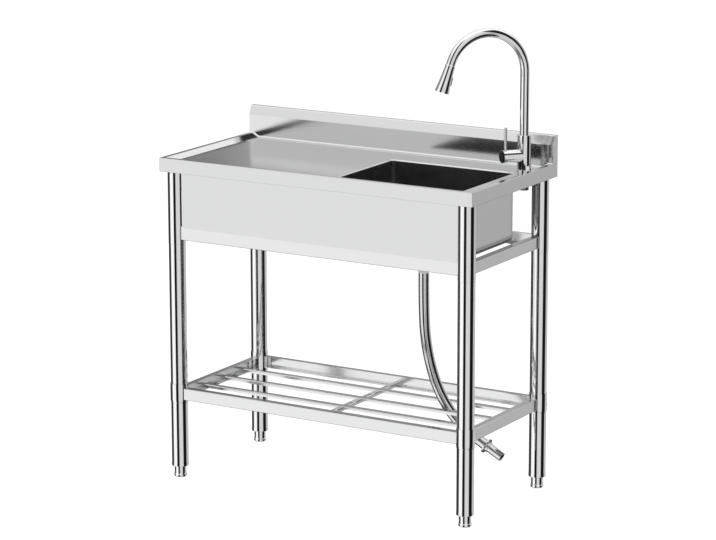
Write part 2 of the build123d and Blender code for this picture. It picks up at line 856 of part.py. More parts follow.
# ---- swivel spout: gooseneck tube in the plane of the spout's turn ----
arch_sweep_angle = radians(arch_sweep)
spout_plane = Plane(
    origin=(tap_x, tap_y, 0),
    x_dir=(cos(radians(spout_turn)), sin(radians(spout_turn)), 0),
    z_dir=(sin(radians(spout_turn)), -cos(radians(spout_turn)), 0),
)
spout_foot = tap_body_top - spout_spigot + seat_gap
arch_end = (
    arch_radius * (1 - cos(arch_sweep_angle)),
    arch_start + arch_radius * sin(arch_sweep_angle),
)
arch_heading = (sin(arch_sweep_angle), cos(arch_sweep_angle))
tube_end = (arch_end[0] + arch_tail * arch_heading[0], arch_end[1] + arch_tail * arch_heading[1])
with BuildPart() as spout_tube:
    with BuildLine(spout_plane):
        Line((0, spout_foot), (0, arch_start))
        CenterArc((arch_radius, arch_start), arch_radius, 180, -arch_sweep)
        Line(arch_end, tube_end)
    with BuildSketch(Plane.XY.offset(spout_foot)):
        with Locations((tap_x, tap_y)):
            ring(spout_radius, spout_radius - spout_wall)
    sweep()
save(spout_tube, "spout_tube")

# ---- spray head: flared bell on the spout's end, with a pocket for its mode button ----
head_origin = spout_plane.from_local_coords(Vector(tube_end[0], tube_end[1], 0))
head_direction = (spout_plane.x_dir * arch_heading[0] + spout_plane.y_dir * arch_heading[1]).normalized()
head_outward = spout_plane.z_dir.cross(head_direction)
head_plane = Plane(origin=head_origin, x_dir=head_outward, z_dir=head_outward.cross(head_direction))
head_axis = Axis(head_origin, head_direction)
flare_start = (head_top_radius, head_collar_length)
flare_end = (head_end_radius, head_length)
flare_middle = (
    (head_top_radius + head_end_radius) / 2 - flare_hollow,
    (head_collar_length + head_length) / 2,
)
flare_angle = atan2(head_end_radius - head_top_radius, head_length - head_collar_length)
button_foot = head_direction * flare_middle[1] - head_outward * (flare_middle[0] - button_depth)
button_plane = Plane(
    origin=head_origin + button_foot,
    x_dir=head_direction * cos(flare_angle) - head_outward * sin(flare_angle),
    z_dir=head_direction * -sin(flare_angle) - head_outward * cos(flare_angle),
)
with BuildPart() as spray_head:
    with BuildSketch(head_plane):
        with BuildLine():
            Polyline((head_bore_radius, head_length), flare_end)
            ThreePointArc(flare_end, flare_middle, flare_start)
            Polyline(
                flare_start,
                (head_top_radius, head_lip),
                (head_top_radius - head_lip, 0),
                (0, 0),
                (0, head_length - head_bore_depth),
                (head_bore_radius, head_length - head_bore_depth),
                (head_bore_radius, head_length),
            )
        make_face()
    revolve(axis=head_axis)
    with BuildSketch(button_plane.offset(-button_travel - seat_gap)):
        SlotOverall(button_length + 2 * seat_gap, button_width + 2 * seat_gap)
    extrude(amount=head_end_radius, mode=Mode.SUBTRACT)
save(spray_head, "spray_head")

with BuildPart() as spray_button:
    with BuildSketch(button_plane):
        SlotOverall(button_length, button_width)
    extrude(amount=button_depth + button_proud)
    button_edges = spray_button.edges().sort_by(Axis(button_plane.origin, button_plane.z_dir))
    fillet(button_edges[-button_top_edges:], button_round)
save(spray_button, "spray_button")

face_seat = head_origin + head_direction * (head_length - head_bore_depth)
with BuildPart() as spray_face:
    with BuildSketch(Plane(origin=face_seat, z_dir=head_direction)):
        Circle(head_bore_radius - seat_gap)
        with PolarLocations(nozzle_ring_radius, face_nozzles):
            Circle(nozzle_radius, mode=Mode.SUBTRACT)
    extrude(amount=face_thickness)
save(spray_face, "spray_face")

# ---- tap shank with the two water inlets in line with the side rail, its washer and nut ----
shank_bottom = deck_top - shank_drop
with BuildPart() as tap_shank:
    with BuildSketch(Plane.XY.offset(shank_bottom)):
        with Locations((tap_x, tap_y)):
            Circle(shank_radius)
    extrude(amount=body_bottom - shank_bottom)
    with BuildSketch(Plane.XY.offset(shank_bottom)):
        with Locations((tap_x, tap_y)):
            with PolarLocations(shank_radius / 2, 2, start_angle=90):
                Circle(shank_bore)
    extrude(amount=shank_bore_depth, mode=Mode.SUBTRACT)
save(tap_shank, "tap_shank")

with BuildPart() as tap_washer:
    with BuildSketch(Plane.XY.offset(deck_under - tap_washer_thickness)):
        with Locations((tap_x, tap_y)):
            ring(tap_washer_radius, shank_radius + seat_gap)
    extrude(amount=tap_washer_thickness)
save(tap_washer, "tap_washer")

with BuildPart() as tap_nut:
    with BuildSketch(Plane.XY.offset(deck_under - tap_washer_thickness - tap_nut_height)):
        with Locations((tap_x, tap_y)):
            RegularPolygon(tap_nut_radius, tap_nut_sides)
            Circle(shank_radius + seat_gap, mode=Mode.SUBTRACT)
    extrude(amount=tap_nut_height)
save(tap_nut, "tap_nut")
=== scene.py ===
import json
import math

import bpy
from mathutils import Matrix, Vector


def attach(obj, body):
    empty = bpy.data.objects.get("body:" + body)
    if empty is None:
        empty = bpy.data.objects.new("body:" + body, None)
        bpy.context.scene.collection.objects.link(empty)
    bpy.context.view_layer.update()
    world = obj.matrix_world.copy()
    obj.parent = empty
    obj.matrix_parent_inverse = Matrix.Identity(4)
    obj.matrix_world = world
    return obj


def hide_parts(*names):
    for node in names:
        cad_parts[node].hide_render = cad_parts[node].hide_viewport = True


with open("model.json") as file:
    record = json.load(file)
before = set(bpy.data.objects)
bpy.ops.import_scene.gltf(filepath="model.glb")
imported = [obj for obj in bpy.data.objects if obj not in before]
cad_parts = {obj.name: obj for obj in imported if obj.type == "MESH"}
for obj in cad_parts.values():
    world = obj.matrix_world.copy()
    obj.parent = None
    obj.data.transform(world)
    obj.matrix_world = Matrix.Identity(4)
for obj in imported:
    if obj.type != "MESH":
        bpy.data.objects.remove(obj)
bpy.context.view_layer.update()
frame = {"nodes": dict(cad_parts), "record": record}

scene = bpy.context.scene
scene.view_settings.view_transform = "Standard"
slotOfNode = {entry["node"]: entry["material_slot"] for entry in frame["record"]["subparts"]}
bodyOfNode = {}
for bodyName, bodyNodes in frame["record"]["behaviour"]["bodies"].items():
    for nodeName in bodyNodes:
        bodyOfNode[nodeName] = bodyName
print("frame loaded,", len(frame["nodes"]), "nodes")


# camera, at the photograph's viewing angle
cameraView = {
    "azimuth": 30.81,
    "elevation": 12.85,
    "roll": -0.07,
    "distance": 6.6604,
    "aim": (0.0, 0.0, 0.45),
    "aimRight": 0.00143,
    "aimUp": 0.03785,
    "lens": 150.44,
    "sensorWidth": 36.0,
    "farthest": 60.0,
}


def addCamera(view):
    turn = math.radians(view["azimuth"])
    tilt = math.radians(view["elevation"])
    back = Vector((math.sin(turn) * math.cos(tilt), -math.cos(turn) * math.cos(tilt), math.sin(tilt)))
    right = Vector((math.cos(turn), math.sin(turn), 0.0))
    up = back.cross(right)
    data = bpy.data.cameras.new("photoCamera")
    data.lens = view["lens"]
    data.sensor_width = view["sensorWidth"]
    data.clip_end = view["farthest"]
    camera = bpy.data.objects.new("photoCamera", data)
    scene.collection.objects.link(camera)
    aim = Vector(view["aim"]) + right * view["aimRight"] + up * view["aimUp"]
    camera.location = aim + back * view["distance"]
    camera.rotation_mode = "XYZ"
    camera.rotation_euler = (math.pi / 2 - tilt, 0.0, turn)
    camera.rotation_euler.rotate_axis("Z", math.radians(view["roll"]))
    scene.camera = camera


addCamera(cameraView)
print("camera placed")


# waste hose: one smooth line that follows the CAD tube
hose = {
    "diameter": 0.024,
    "length": 0.4497,
    "roundSteps": 10,
    "lineSteps": 24,
    "route": [
        (0.191, -0.037, 0.5126),
        (0.191, -0.037, 0.4306),
        (0.185, -0.016, 0.3466),
        (0.192, 0.008, 0.2626),
        (0.217, 0.024, 0.1966),
        (0.259, 0.030, 0.1506),
        (0.3125, 0.030, 0.1221),
    ],
}


def addHose(values):
    data = bpy.data.curves.new("wasteHose", "CURVE")
    data.dimensions = "3D"
    data.bevel_depth = 1.0  # each point's radius gives the hose's, so the bounds stay tight
    data.bevel_resolution = values["roundSteps"]
    data.resolution_u = values["lineSteps"]
    data.use_fill_caps = True
    line = data.splines.new("NURBS")
    line.points.add(len(values["route"]) - 1)
    for point, place in zip(line.points, values["route"]):
        point.co = (*place, 1.0)
        point.radius = values["diameter"] / 2
    line.order_u = 3
    line.use_endpoint_u = True
    piece = bpy.data.objects.new("wasteHose", data)
    scene.collection.objects.link(piece)
    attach(piece, "unit")
    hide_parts("waste_hose")
    return piece


wasteHose = addHose(hose)
print("hose laid")


# helpers that place shader nodes and groups
def addNode(tree, kind, place, **settings):
    node = tree.nodes.new(kind)
    node.location = place
    for name, value in settings.items():
        setattr(node, name, value)
    return node


def newGroup(name, inputs, outputs):
    group = bpy.data.node_groups.new(name, "ShaderNodeTree")
    for label, kind, default in inputs:
        socket = group.interface.new_socket(name=label, in_out="INPUT", socket_type=kind)
        socket.default_value = default
    for label, kind in outputs:
        group.interface.new_socket(name=label, in_out="OUTPUT", socket_type=kind)
    start = addNode(group, "NodeGroupInput", (-900, 0))
    end = addNode(group, "NodeGroupOutput", (700, 0))
    return group, start, end


def placeGroup(tree, group, place, **values):
    node = addNode(tree, "ShaderNodeGroup", place, node_tree=group)
    for label, value in values.items():
        node.inputs[label].default_value = value
    return node


# drawn grain: fine lines stretched along the way the steel was brushed or drawn
grainPattern = {
    "fineScale": 1.0,
    "fineDetail": 3.0,
    "coarseScale": 0.18,
    "coarseDetail": 2.0,
    "coarseShare": 0.35,
    "middle": 0.5,  # the noise lies about this value
}


def makeDrawnGrain(values):
    group, start, end = newGroup(
        "drawnGrain",
        [
            ("Stretch", "NodeSocketVector", (4.0, 900.0, 900.0)),
            ("Contrast", "NodeSocketFloat", 0.5),
        ],
        [("Lines", "NodeSocketFloat"), ("Height", "NodeSocketFloat")],
    )
    coords = addNode(group, "ShaderNodeTexCoord", (-900, 250))
    stretched = addNode(group, "ShaderNodeVectorMath", (-700, 150), operation="MULTIPLY")
    fine = addNode(group, "ShaderNodeTexNoise", (-480, 250))
    fine.inputs["Scale"].default_value = values["fineScale"]
    fine.inputs["Detail"].default_value = values["fineDetail"]
    coarse = addNode(group, "ShaderNodeTexNoise", (-480, -50))
    coarse.inputs["Scale"].default_value = values["coarseScale"]
    coarse.inputs["Detail"].default_value = values["coarseDetail"]
    both = addNode(group, "ShaderNodeMix", (-240, 150), data_type="FLOAT")
    both.inputs["Factor"].default_value = values["coarseShare"]
    centred = addNode(group, "ShaderNodeMath", (-40, 150), operation="SUBTRACT")
    centred.inputs[1].default_value = values["middle"]
    scaled = addNode(group, "ShaderNodeMath", (140, 150), operation="MULTIPLY")
    lifted = addNode(group, "ShaderNodeMath", (320, 150), operation="ADD", use_clamp=True)
    lifted.inputs[1].default_value = values["middle"]
    link = group.links.new
    link(coords.outputs["Object"], stretched.inputs[0])
    link(start.outputs["Stretch"], stretched.inputs[1])
    link(stretched.outputs[0], fine.inputs["Vector"])
    link(stretched.outputs[0], coarse.inputs["Vector"])
    link(fine.outputs["Fac"], both.inputs["A"])
    link(coarse.outputs["Fac"], both.inputs["B"])
    link(both.outputs["Result"], centred.inputs[0])
    link(centred.outputs[0], scaled.inputs[0])
    link(start.outputs["Contrast"], scaled.inputs[1])
    link(scaled.outputs[0], lifted.inputs[0])
    link(lifted.outputs[0], end.inputs["Lines"])
    link(fine.outputs["Fac"], end.inputs["Height"])
    return group


# wipe marks: broad soft clouds where the surface is a little duller
markPattern = {
    "detail": 5.0,
    "breakUp": 0.6,
    "swirl": 0.8,
    "faintest": 0.42,
    "strongest": 0.68,
}


def makeWipeMarks(values):
    group, start, end = newGroup(
        "wipeMarks",
        [("Scale", "NodeSocketFloat", 6.0), ("Amount", "NodeSocketFloat", 0.3)],
        [("Mask", "NodeSocketFloat")],
    )
    coords = addNode(group, "ShaderNodeTexCoord", (-900, 250))
    clouds = addNode(group, "ShaderNodeTexNoise", (-600, 150))
    clouds.inputs["Detail"].default_value = values["detail"]
    clouds.inputs["Roughness"].default_value = values["breakUp"]
    clouds.inputs["Distortion"].default_value = values["swirl"]
    shaped = addNode(group, "ShaderNodeMapRange", (-300, 150), interpolation_type="SMOOTHSTEP")
    shaped.inputs["From Min"].default_value = values["faintest"]
    shaped.inputs["From Max"].default_value = values["strongest"]
    scaled = addNode(group, "ShaderNodeMath", (0, 150), operation="MULTIPLY")
    link = group.links.new
    link(coords.outputs["Object"], clouds.inputs["Vector"])
    link(start.outputs["Scale"], clouds.inputs["Scale"])
    link(clouds.outputs["Fac"], shaped.inputs["Value"])
    link(shaped.outputs["Result"], scaled.inputs[0])
    link(start.outputs["Amount"], scaled.inputs[1])
    link(scaled.outputs[0], end.inputs["Mask"])
    return group


# edge wear: a mask that is bright where a surface turns sharply within the radius
wearPattern = {
    "samples": 4,
    "flat": 0.995,  # how alike the plain and the rounded normal are on a flat, and on a sharp edge
    "sharp": 0.85,
}


def makeEdgeWear(values):
    group, start, end = newGroup(
        "edgeWear",
        [("Radius", "NodeSocketFloat", 0.001), ("Amount", "NodeSocketFloat", 0.5)],
        [("Mask", "NodeSocketFloat")],
    )
    rounded = addNode(group, "ShaderNodeBevel", (-700, 200), samples=values["samples"])
    surface = addNode(group, "ShaderNodeNewGeometry", (-700, 0))
    match = addNode(group, "ShaderNodeVectorMath", (-480, 120), operation="DOT_PRODUCT")
    turned = addNode(group, "ShaderNodeMapRange", (-260, 120))
    turned.inputs["From Min"].default_value = values["flat"]
    turned.inputs["From Max"].default_value = values["sharp"]
    scaled = addNode(group, "ShaderNodeMath", (-40, 120), operation="MULTIPLY")
    link = group.links.new
    link(start.outputs["Radius"], rounded.inputs["Radius"])
    link(rounded.outputs["Normal"], match.inputs[0])
    link(surface.outputs["Normal"], match.inputs[1])
    link(match.outputs["Value"], turned.inputs["Value"])
    link(turned.outputs["Result"], scaled.inputs[0])
    link(start.outputs["Amount"], scaled.inputs[1])
    link(scaled.outputs[0], end.inputs["Mask"])
    return group


drawnGrain = makeDrawnGrain(grainPattern)
wipeMarks = makeWipeMarks(markPattern)
edgeWear = makeEdgeWear(wearPattern)
print("shader groups built")


# finishes: metals share one make-up, rubber and plastics another
def newFinish(name):
    material = bpy.data.materials.new(name)
    material.use_nodes = True
    tree = material.node_tree
    shader = tree.nodes["Principled BSDF"]
    shader.location = (500, 200)
    return material, tree, shader


def makeSteel(name, values):
    material, tree, shader = newFinish(name)
    shader.inputs["Metallic"].default_value = 1.0
    grain = placeGroup(
        tree, drawnGrain, (-700, 300), Stretch=values["stretch"], Contrast=values["contrast"]
    )
    marks = placeGroup(tree, wipeMarks, (-700, 0), Scale=values["marksScale"], Amount=values["marks"])
    wear = placeGroup(
        tree, edgeWear, (-700, -250), Radius=values["edgeRadius"], Amount=values["edgeWear"]
    )
    tone = addNode(tree, "ShaderNodeMix", (-300, 400), data_type="RGBA")
    tone.inputs["A"].default_value = (*values["darkTone"], 1.0)
    tone.inputs["B"].default_value = (*values["lightTone"], 1.0)
    worn = addNode(tree, "ShaderNodeMix", (0, 400), data_type="RGBA")
    worn.inputs["B"].default_value = (*values["wornTone"], 1.0)
    dull = addNode(tree, "ShaderNodeMapRange", (-300, 100))
    dull.inputs["To Min"].default_value = values["roughness"] - values["roughnessSpread"]
    dull.inputs["To Max"].default_value = values["roughness"] + values["roughnessSpread"]
    smeared = addNode(tree, "ShaderNodeMath", (0, 100), operation="ADD", use_clamp=True)
    bump = addNode(tree, "ShaderNodeBump", (200, -200))
    bump.inputs["Strength"].default_value = values["bump"]
    bump.inputs["Distance"].default_value = values["bumpDepth"]
    link = tree.links.new
    link(grain.outputs["Lines"], tone.inputs["Factor"])
    link(tone.outputs["Result"], worn.inputs["A"])
    link(wear.outputs["Mask"], worn.inputs["Factor"])
    link(worn.outputs["Result"], shader.inputs["Base Color"])
    link(grain.outputs["Lines"], dull.inputs["Value"])
    link(dull.outputs["Result"], smeared.inputs[0])
    link(marks.outputs["Mask"], smeared.inputs[1])
    link(smeared.outputs[0], shader.inputs["Roughness"])
    link(grain.outputs["Height"], bump.inputs["Height"])
    link(bump.outputs["Normal"], shader.inputs["Normal"])
    return material


def makeMoulding(name, values):
    material, tree, shader = newFinish(name)
    shader.inputs["IOR"].default_value = values["ior"]
    shader.inputs["Specular IOR Level"].default_value = values["gloss"]
    coords = addNode(tree, "ShaderNodeTexCoord", (-900, 0))
    speckle = addNode(tree, "ShaderNodeTexNoise", (-700, -100))
    speckle.inputs["Scale"].default_value = values["speckleScale"]
    speckle.inputs["Detail"].default_value = values["speckleDetail"]
    marks = placeGroup(tree, wipeMarks, (-700, 200), Scale=values["marksScale"], Amount=values["marks"])
    wear = placeGroup(
        tree, edgeWear, (-700, -350), Radius=values["edgeRadius"], Amount=values["edgeWear"]
    )
    tone = addNode(tree, "ShaderNodeMix", (-300, 300), data_type="RGBA")
    tone.inputs["A"].default_value = (*values["colour"], 1.0)
    tone.inputs["B"].default_value = (*values["edgeColour"], 1.0)
    dull = addNode(tree, "ShaderNodeMath", (0, 50), operation="ADD", use_clamp=True)
    dull.inputs[1].default_value = values["roughness"]
    bump = addNode(tree, "ShaderNodeBump", (200, -200))
    bump.inputs["Strength"].default_value = values["bump"]
    bump.inputs["Distance"].default_value = values["bumpDepth"]
    link = tree.links.new
    link(coords.outputs["Object"], speckle.inputs["Vector"])
    link(wear.outputs["Mask"], tone.inputs["Factor"])
    link(tone.outputs["Result"], shader.inputs["Base Color"])
    link(marks.outputs["Mask"], dull.inputs[0])
    link(dull.outputs[0], shader.inputs["Roughness"])
    link(speckle.outputs["Fac"], bump.inputs["Height"])
    link(bump.outputs["Normal"], shader.inputs["Normal"])
    return material


# a low number in stretch draws the grain out along that axis
grainAlongWidth = (5.0, 1300.0, 1300.0)
grainAlongDepth = (1300.0, 5.0, 1300.0)
steelValues = {"wornTone": (0.9, 0.9, 0.9), "bumpDepth": 0.0001}
sheetValues = {
    **steelValues,
    "stretch": grainAlongWidth,
    "contrast": 0.7,
    "darkTone": (0.63, 0.632, 0.636),
    "lightTone": (0.66, 0.662, 0.666),
    "roughness": 0.14,
    "roughnessSpread": 0.02,
    "marksScale": 5.0,
    "marks": 0.02,
    "edgeRadius": 0.0012,
    "edgeWear": 0.3,
    "bump": 0.03,
}
railValues = {**sheetValues, "darkTone": (0.70, 0.702, 0.706), "lightTone": (0.73, 0.732, 0.736)}
steelFinishes = {
    "sheetAlongWidth": sheetValues,
    "sheetAlongDepth": {**sheetValues, "stretch": grainAlongDepth},
    "railAlongWidth": railValues,
    "railAlongDepth": {**railValues, "stretch": grainAlongDepth},
    # painted shade: a darker tone on the rails' upper faces
    "railTopPaintedShade": {**sheetValues, "darkTone": (0.40, 0.401, 0.404), "lightTone": (0.44, 0.441, 0.444)},
    # painted highlight: a lighter tone on the rear shelf rail's foot
    "railFootPaintedHighlight": {**sheetValues, "darkTone": (0.92, 0.92, 0.92), "lightTone": (0.96, 0.96, 0.96)},
    # painted shade: a darker tone on the bowl's lower outside bend
    "bowlBendPaintedShade": {**sheetValues, "darkTone": (0.25, 0.251, 0.253), "lightTone": (0.28, 0.281, 0.283)},
    # painted shade: a darker tone on the slats' upward faces
    "slatTopPaintedShade": {**sheetValues, "darkTone": (0.46, 0.461, 0.464), "lightTone": (0.50, 0.501, 0.504)},
    "upstandSheet": {**sheetValues, "darkTone": (0.66, 0.662, 0.666), "lightTone": (0.69, 0.692, 0.696)},
    # painted shade: a darker tone for the bowl's inside, which is the same steel as the deck
    "bowlInsidePaintedShade": {
        **sheetValues,
        "stretch": (900.0, 900.0, 12.0),
        "darkTone": (0.42, 0.421, 0.424),
        "lightTone": (0.48, 0.481, 0.484),
        "roughness": 0.2,
        "edgeWear": 0.0,
    },
    "drawnTube": {
        **steelValues,
        "stretch": (1500.0, 1500.0, 6.0),
        "contrast": 0.6,
        "darkTone": (0.80, 0.80, 0.80),
        "lightTone": (0.86, 0.86, 0.865),
        "roughness": 0.06,
        "roughnessSpread": 0.015,
        "marksScale": 9.0,
        "marks": 0.02,
        "edgeRadius": 0.001,
        "edgeWear": 0.3,
        "bump": 0.02,
    },
    "polishedFitting": {
        **steelValues,
        "stretch": (220.0, 220.0, 220.0),
        "contrast": 0.4,
        "darkTone": (0.78, 0.78, 0.78),
        "lightTone": (0.85, 0.85, 0.85),
        "roughness": 0.13,
        "roughnessSpread": 0.03,
        "marksScale": 14.0,
        "marks": 0.04,
        "edgeRadius": 0.0008,
        "edgeWear": 0.4,
        "bump": 0.03,
    },
    "tapChrome": {
        **steelValues,
        "stretch": (160.0, 160.0, 160.0),
        "contrast": 0.3,
        "darkTone": (0.80, 0.80, 0.805),
        "lightTone": (0.86, 0.86, 0.865),
        "roughness": 0.06,
        "roughnessSpread": 0.012,
        "marksScale": 18.0,
        "marks": 0.02,
        "edgeRadius": 0.0006,
        "edgeWear": 0.2,
        "bump": 0.01,
    },
    "hoseSkin": {
        **steelValues,
        "stretch": (90.0, 90.0, 90.0),
        "contrast": 0.4,
        "darkTone": (0.66, 0.66, 0.665),
        "lightTone": (0.74, 0.74, 0.745),
        "roughness": 0.12,
        "roughnessSpread": 0.02,
        "marksScale": 22.0,
        "marks": 0.05,
        "edgeRadius": 0.0006,
        "edgeWear": 0.2,
        "bump": 0.02,
    },
    "platedBrass": {
        **steelValues,
        "stretch": (300.0, 300.0, 1500.0),
        "contrast": 0.6,
        "darkTone": (0.16, 0.16, 0.162),
        "lightTone": (0.22, 0.22, 0.222),
        "roughness": 0.28,
        "roughnessSpread": 0.05,
        "marksScale": 20.0,
        "marks": 0.08,
        "edgeRadius": 0.0006,
        "edgeWear": 0.2,
        "bump": 0.08,
    },
    "machinedBrass": {
        **steelValues,
        "stretch": (300.0, 300.0, 1500.0),
        "contrast": 0.8,
        "darkTone": (0.55, 0.42, 0.22),
        "lightTone": (0.72, 0.56, 0.30),
        "roughness": 0.3,
        "roughnessSpread": 0.06,
        "marksScale": 20.0,
        "marks": 0.1,
        "edgeRadius": 0.0008,
        "edgeWear": 0.3,
        "bump": 0.1,
    },
}
mouldingValues = {"ior": 1.48, "speckleDetail": 4.0, "edgeRadius": 0.0008, "bumpDepth": 0.0002}
mouldingFinishes = {
    "blackRubber": {
        **mouldingValues,
        "gloss": 0.5,
        "colour": (0.018, 0.018, 0.019),
        "edgeColour": (0.06, 0.06, 0.06),
        "roughness": 0.6,
        "speckleScale": 1400.0,
        "marksScale": 30.0,
        "marks": 0.2,
        "edgeWear": 0.5,
        "bump": 0.3,
    },
    "whitePlastic": {
        **mouldingValues,
        "gloss": 0.5,
        "colour": (0.76, 0.76, 0.74),
        "edgeColour": (0.84, 0.84, 0.82),
        "roughness": 0.4,
        "speckleScale": 700.0,
        "marksScale": 25.0,
        "marks": 0.15,
        "edgeWear": 0.4,
        "bump": 0.12,
    },
    "capPlastic": {
        **mouldingValues,
        "gloss": 0.2,
        "colour": (0.010, 0.010, 0.011),
        "edgeColour": (0.04, 0.04, 0.04),
        "roughness": 0.1,
        "speckleScale": 600.0,
        "marksScale": 40.0,
        "marks": 0.05,
        "edgeWear": 0.4,
        "bump": 0.05,
    },
}
finishes = {}
for finishName, finishValues in steelFinishes.items():
    finishes[finishName] = makeSteel(finishName, finishValues)
for finishName, finishValues in mouldingFinishes.items():
    finishes[finishName] = makeMoulding(finishName, finishValues)
print("finishes made,", len(finishes))


finishOfSlot = {
    "brushed_sheet": "sheetAlongWidth",
    "polished_tube": "drawnTube",
    "inner_steel": "polishedFitting",
    "bright_hardware": "polishedFitting",
    "black_rubber": "blackRubber",
    "white_plastic": "whitePlastic",
    "hose_skin": "hoseSkin",
    "tap_finish": "tapChrome",
    "inner_brass": "machinedBrass",
    "black_plastic": "capPlastic",
}
alongDepth = {
    "upper_rail_left",
    "upper_rail_right",
    "shelf_rail_left",
    "shelf_rail_right",
    "shelf_stiffener",
}


def finishFor(node):
    if node == "backsplash":
        return finishes["upstandSheet"]
    if node in ("tap_shank", "tap_nut"):
        return finishes["platedBrass"]
    if "_rail_" in node or "_slat_" in node:
        return finishes["railAlongDepth" if node in alongDepth else "railAlongWidth"]
    if node in alongDepth:
        return finishes["sheetAlongDepth"]
    return finishes[finishOfSlot[slotOfNode[node]]]


def giveFinish(piece, material):
    piece.data.materials.clear()
    piece.data.materials.append(material)


def makeActive(piece):
    if bpy.context.mode != "OBJECT":
        bpy.ops.object.mode_set(mode="OBJECT")
    bpy.ops.object.select_all(action="DESELECT")
    piece.select_set(True)
    bpy.context.view_layer.objects.active = piece


# kind is VERT, EDGE or FACE; the piece is left in edit mode with only the wanted parts selected
def selectParts(piece, kind, wanted):
    makeActive(piece)
    bpy.ops.object.mode_set(mode="EDIT")
    bpy.ops.mesh.select_mode(type=kind)
    bpy.ops.mesh.select_all(action="DESELECT")
    bpy.ops.object.mode_set(mode="OBJECT")
    parts = {"VERT": piece.data.vertices, "EDGE": piece.data.edges, "FACE": piece.data.polygons}[kind]
    for part in parts:
        part.select = wanted(part)
    bpy.ops.object.mode_set(mode="EDIT")


upwards = Vector((0.0, 0.0, 1.0))
nearlyAlong = 0.7  # cosine of the widest angle at which a face still counts as facing a way


def facesWay(face, way):
    return face.normal.dot(way) > nearlyAlong


# every CAD node but the hose and its end pipe: a copy with merged points, clean flats and smooth shading
refining = {
    "mergeWithin": 0.000004,
    "flatDegrees": 0.2,
    "sharpDegrees": 32.0,
    "normalWeight": 100,
}


def refinedCopy(node):
    piece = bpy.data.objects.new(node + ".fine", frame["nodes"][node].data.copy())
    scene.collection.objects.link(piece)
    makeActive(piece)
    bpy.ops.mesh.customdata_custom_splitnormals_clear()
    bpy.ops.object.mode_set(mode="EDIT")
    bpy.ops.mesh.select_all(action="SELECT")
    bpy.ops.mesh.remove_doubles(threshold=refining["mergeWithin"])
    bpy.ops.mesh.dissolve_limited(angle_limit=math.radians(refining["flatDegrees"]))
    bpy.ops.object.mode_set(mode="OBJECT")
    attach(piece, bodyOfNode[node])
    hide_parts(node)
    giveFinish(piece, finishFor(node))
    return piece


def smoothShade(piece, sharpDegrees):
    makeActive(piece)
    bpy.ops.object.shade_smooth_by_angle(angle=math.radians(sharpDegrees))
    evened = piece.modifiers.new("evened", "WEIGHTED_NORMAL")
    evened.keep_sharp = True
    evened.weight = refining["normalWeight"]
    bpy.ops.object.modifier_apply(modifier=evened.name)


# bowl lip: one tool shape rounds the deck's edge and the bowl's edge under it
bowlOpening = {
    "centre": (0.191, -0.037),
    "size": (0.306, 0.252),
    "corner": 0.010,
    "cornerSteps": 8,
    "deckTop": 0.728,
    "round": 0.0032,
    "steps": 6,
    "clear": 0.00002,
    "toolHeight": 0.006,
    "lipDepth": 0.0022,  # faces lower than this below the deck's top belong to the bowl's inside
    "middleDepth": 0.08,  # and look towards a point this far below it
    "bendTop": 0.5846,
    "bendNormals": (-0.97, -0.06),  # z of the normals between the floor's underside and the walls
}


def makeLipTool(values):
    width, depth = (side - 2 * values["clear"] for side in values["size"])
    x, y = values["centre"]
    top = values["deckTop"] - values["round"]
    height = values["toolHeight"]
    bpy.ops.object.select_all(action="DESELECT")
    place = (x, y, top - height / 2)
    bpy.ops.mesh.primitive_cube_add(size=1.0, location=place, scale=(width, depth, height))
    tool = bpy.context.object
    bpy.ops.object.transform_apply(location=True, rotation=True, scale=True)

    def isUpright(edge):
        low, high = (tool.data.vertices[index].co for index in edge.vertices)
        return abs(low.z - high.z) > height / 2

    selectParts(tool, "EDGE", isUpright)
    bpy.ops.mesh.bevel(offset=values["corner"], segments=values["cornerSteps"])
    selectParts(tool, "FACE", lambda face: facesWay(face, upwards))
    grown, risen = 0.0, 0.0
    for step in range(1, values["steps"] + 1):
        turn = math.pi / 2 * step / values["steps"]
        grow = values["round"] * (1 - math.cos(turn))
        rise = values["round"] * math.sin(turn)
        bpy.ops.mesh.extrude_region_move(TRANSFORM_OT_translate={"value": (0.0, 0.0, rise - risen)})
        wider = (width + 2 * grow) / (width + 2 * grown)
        deeper = (depth + 2 * grow) / (depth + 2 * grown)
        bpy.ops.transform.resize(value=(wider, deeper, 1.0), center_override=(x, y, top + rise))
        grown, risen = grow, rise
    bpy.ops.mesh.extrude_region_move(TRANSFORM_OT_translate={"value": (0.0, 0.0, height)})
    bpy.ops.object.mode_set(mode="OBJECT")
    return tool


def cutWith(piece, tool):
    makeActive(piece)
    cut = piece.modifiers.new("cut", "BOOLEAN")
    cut.operation = "DIFFERENCE"
    cut.solver = "EXACT"
    cut.object = tool
    bpy.ops.object.modifier_apply(modifier=cut.name)


# the bowl's inner faces, which get painted shade: a darker steel tone standing in for the shade and dark
# reflections inside the bowl
def shadeBowlInside(piece, values):
    x, y = values["centre"]
    middle = Vector((x, y, values["deckTop"] - values["middleDepth"]))
    highest = values["deckTop"] - values["lipDepth"]
    piece.data.materials.append(finishes["bowlInsidePaintedShade"])
    for face in piece.data.polygons:
        if face.center.z < highest and face.normal.dot(middle - face.center) > 0:
            face.material_index = 1


# the bowl's lower outside bend, which gets painted shade too: a darker tone where the bend turns down
# under the bowl
def isOuterBend(face, values):
    outward = (face.center.xy - Vector(values["centre"])).dot(face.normal.xy) > 0.0
    flattest, steepest = values["bendNormals"]
    return outward and face.center.z < values["bendTop"] and flattest < face.normal.z < steepest


# cove where the upstand rises from the worktop, along deck, slopes and rim
cove = {
    "front": 0.1745,
    "radius": 0.0042,
    "sides": 32,
    "sink": 0.0001,
    "slack": 0.01,
    "mergeWithin": 0.00005,
    "sharpDegrees": 40.0,
    "path": [
        (-0.3945, 0.737),
        (-0.384, 0.737),
        (-0.370, 0.728),
        (0.370, 0.728),
        (0.384, 0.737),
        (0.3945, 0.737),
    ],
}


